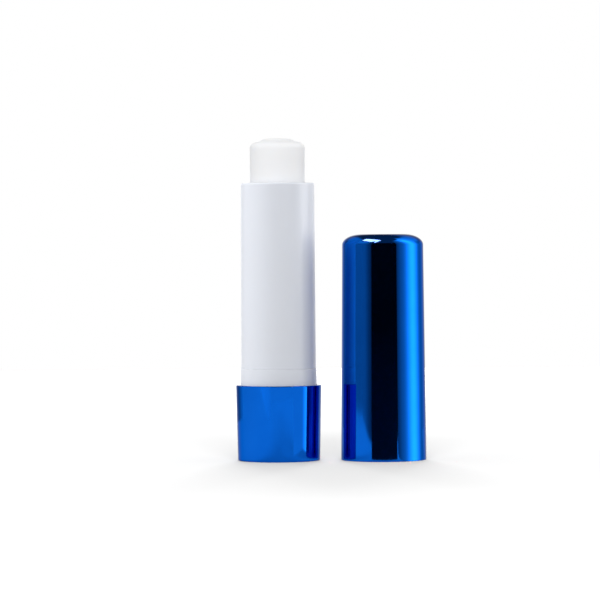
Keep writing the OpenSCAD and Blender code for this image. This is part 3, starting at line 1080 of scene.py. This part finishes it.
front = wall_card("front_wall", [from_cap(w, WALL_AWAY) for w in range(-34, 38)], [-1, 80, 110, 150])
light_card(front, lambda x, y, z: between(FRONT_FADE, z))
near = wall_card("near_card", [(x, NEAR_Y) for x in NEAR_X], [-1, 8, 30, 52])
light_card(near, lambda x, y, z: 1.0, lambda x, y, z: between(NEAR_GREY, z))

# %% [markdown]
# ### The ceiling
#
# The crown mirrors the ceiling. It is dark, with the lamp's light on the right and the room's on the
# left, and the light begins a little way out from over the cap. A disc with many rings takes the glow
# on its points, as the walls do.

# %% The ceiling
CEILING_Z = 300
CEILING_RINGS = (0, 30, 60, 90, 95, 105, 115, 130, 145, 160, 175, 190, 205, 220, 260, 400, 700)
CEILING_LAMP = [(50, 0.0), (75, 1.6), (90, 2.4), (125, 1.8), (150, 0.0)]
CEILING_LIT_FROM = [(95, 0.0), (115, 1.0)]
LEFT_EDGE = [(-330, -148), (10, -190), (130, -125)]
LEFT_EDGE_SOFT = [(0, 0.0), (12, 1.0)]
LEFT_ABOVE = 0.9


def ceiling_glow(x, y, z):
    """Glow of the ceiling: dark, with the lamp's light on the right and the pale room on the left."""
    away = math.hypot(x - cap_x, y)
    right = between(CEILING_LAMP, way_round(x, y)) * between(CEILING_LIT_FROM, away)
    past_edge = between(LEFT_EDGE, y) - (x - cap_x)
    left = LEFT_ABOVE * between(LEFT_EDGE_SOFT, past_edge)
    return max(CEILING_DARK, right, left)


ceiling = turn("ceiling", [(r, CEILING_Z) for r in CEILING_RINGS], axis_x=cap_x)
light_card(ceiling, ceiling_glow)

# %% [markdown]
# ### The softbox
#
# The glint on the crown is the reflection of one softbox, and the softbox's corners give it its shape.
# The lacquer sends back almost no red, so a white softbox would give a blue glint, or a burnt one with
# a coloured fringe. This one is tinted against the lacquer, and its reflection comes back white.

# %% The softbox
SOFT_CORNERS = [(-96, 78), (-43, -8), (-13, -55), (-115, -245), (-165, 30)]
SOFT_TINT = (1.0, 0.042, 0.021, 1.0)
SOFT_STRENGTH = 280.0
BELOW_CEILING = 1

softbox_points = [(cap_x + x, y) for x, y in SOFT_CORNERS]
softbox = flat_card("softbox", softbox_points, CEILING_Z - BELOW_CEILING)
finish = Finish(bpy.data.materials.new("softbox_glow"))
tinted = finish.add("ShaderNodeEmission", {}, {"Color": SOFT_TINT, "Strength": SOFT_STRENGTH})
softbox_glow = finish.close(tinted)
softbox_glow.cycles.emission_sampling = "NONE"
paint(softbox, softbox_glow)
mirrors_only(softbox)

# %% [markdown]
# ### Which piece sees which card
#
# Light linking lets a card light some objects and stay dark for the others. The front cards and the low
# left wall glow for the stick alone, and the softbox for the cap alone. Without it each mirror would
# need a stage, and a picture, of its own.

# %% Link the cards
stick_only = bpy.data.collections.new("stick_only")
for piece in (tube_barrel, base_cup, collar_sleeve, balm_stick, SCREW, CARRIER):
    stick_only.objects.link(piece)
for made in (front, near, left_low):
    made.light_linking.receiver_collection = stick_only
cap_only = bpy.data.collections.new("cap_only")
cap_only.objects.link(cap_shell)
softbox.light_linking.receiver_collection = cap_only

# %% [markdown]
# ## Lamps
#
# Paper all round gives most of the light, so the white parts are soft and nearly even. Five large lamps
# shape them. One on each side lights the plastic and leaves the middle of the tube a little darker than
# its sides. One from the front left lights the balm. Two over the table, one behind and one before,
# draw the soft shadow at the feet. Mirrors don't see the lamps, because the cards stand for them there.

# %% Lamps
STICK_AIM = (0, 0, 0.05)
STICK_LAMP_HIGH = 0.3
TABLE_AIM = (0.012, 0, 0)
TABLE_LAMP_AWAY = 0.7
TABLE_LAMP_UP = 0.27
TABLE_LAMP_WIDE = 0.35
TABLE_LAMP_HIGH = 0.42
TABLE_LAMP_WATTS = 9.6


def lamp(name, place, aim, wide, high, watts):
    """An area lamp at a place, turned to an aim, in metres. Mirrors don't see it."""
    light = bpy.data.lights.new(name, "AREA")
    light.shape = "RECTANGLE"
    light.size, light.size_y, light.energy = wide, high, watts
    made = bpy.data.objects.new(name, light)
    bpy.context.collection.objects.link(made)
    made.location = place
    towards = mathutils.Vector(aim) - mathutils.Vector(place)
    made.rotation_euler = towards.to_track_quat("-Z", "Y").to_euler()
    made.visible_glossy = False
    return made


plastic_only = bpy.data.collections.new("plastic_only")
for piece in (tube_barrel, base_cup, collar_sleeve, SCREW, CARRIER, cap_shell):
    plastic_only.objects.link(piece)
balm_only = bpy.data.collections.new("balm_only")
balm_only.objects.link(balm_stick)
lamps = [
    ("lamp_left", (-0.36, -0.06, 0.28), 0.25, 0.78, plastic_only),
    ("lamp_right", (0.50, -0.10, 0.12), 0.2, 0.42, plastic_only),
    ("lamp_balm", (-0.15, -0.50, 0.20), 0.6, 0.75, balm_only),
]
for name, place, wide, watts, lit in lamps:
    made = lamp(name, place, STICK_AIM, wide, STICK_LAMP_HIGH, watts)
    made.light_linking.receiver_collection = lit
table_only = bpy.data.collections.new("table_only")
table_only.objects.link(table)
table_only.objects.link(lamp_side)
for name, y in (("lamp_behind", TABLE_LAMP_AWAY), ("lamp_before", -TABLE_LAMP_AWAY)):
    place = (TABLE_AIM[0], y, TABLE_LAMP_UP)
    made = lamp(name, place, TABLE_AIM, TABLE_LAMP_WIDE, TABLE_LAMP_HIGH, TABLE_LAMP_WATTS)
    made.light_linking.receiver_collection = table_only

# %% [markdown]
# ## Paper
#
# The paper is the world. It is white to the camera and to mirrors, and dimmer where a matte surface is
# seen in a mirror. As light it is a little brighter from the sides than from above. A room of real
# sheets would need many more bounces to become as even.

# %% Paper
PAPER_LOW = 0.87
PAPER_HIGH = 0.83
finish = Finish(bpy.data.worlds.new("studio"))
direction = finish.add("ShaderNodeTexCoord", out="Generated")
up = finish.add("ShaderNodeSeparateXYZ", {}, {0: direction}, out="Z")
kinds = ("Camera", "Glossy", "Transmission")
rays = [finish.add("ShaderNodeLightPath", out=f"Is {kind} Ray") for kind in kinds]
matte_seen = finish.add("ShaderNodeLightPath", out="Diffuse Depth").held()
paper = (rays[0] + rays[1] * (1 - MATTE_DIM * matte_seen) + rays[2]).held()
direct = 1 - (rays[0] + rays[1] + rays[2]).held()
light = PAPER_LOW - up.held() * (PAPER_LOW - PAPER_HIGH)
sky = finish.add("ShaderNodeBackground", {}, {"Color": (1, 1, 1, 1), "Strength": paper + direct * light})
bpy.context.scene.world = finish.close(sky, "ShaderNodeOutputWorld")
bpy.context.scene.view_settings.view_transform = "Standard"

# %% [markdown]
# ## The camera
#
# The stick's sides run almost parallel in the picture and the feet are seen barely from above, so the
# camera stood well back, low, with a long lens. Its place, tilt and roll were fitted until the edges of
# the base, the tube and the cap fell on those of the picture.

# %% Camera
LENS = 222.8
SENSOR_WIDE = 36
CAMERA_PLACE = (0.00486, -0.826, 0.0505)
TILT_DOWN = 1.03
ROLL = -0.35
SEES_TO = 20

camera = bpy.data.cameras.new("photo_camera")
camera.lens = LENS
camera.sensor_width = SENSOR_WIDE
camera.clip_end = SEES_TO
camera_object = bpy.data.objects.new("photo_camera", camera)
bpy.context.collection.objects.link(camera_object)
camera_object.matrix_world = (
    mathutils.Matrix.Translation(CAMERA_PLACE)
    @ mathutils.Matrix.Rotation(math.radians(90 - TILT_DOWN), 4, "X")
    @ mathutils.Matrix.Rotation(math.radians(ROLL), 4, "Z")
)
bpy.context.scene.camera = camera_object

# %% [markdown]
# ## The sizes and the end
#
# The box round the visible pieces is measured once more.

# %% Measure the visible pieces
low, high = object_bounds()
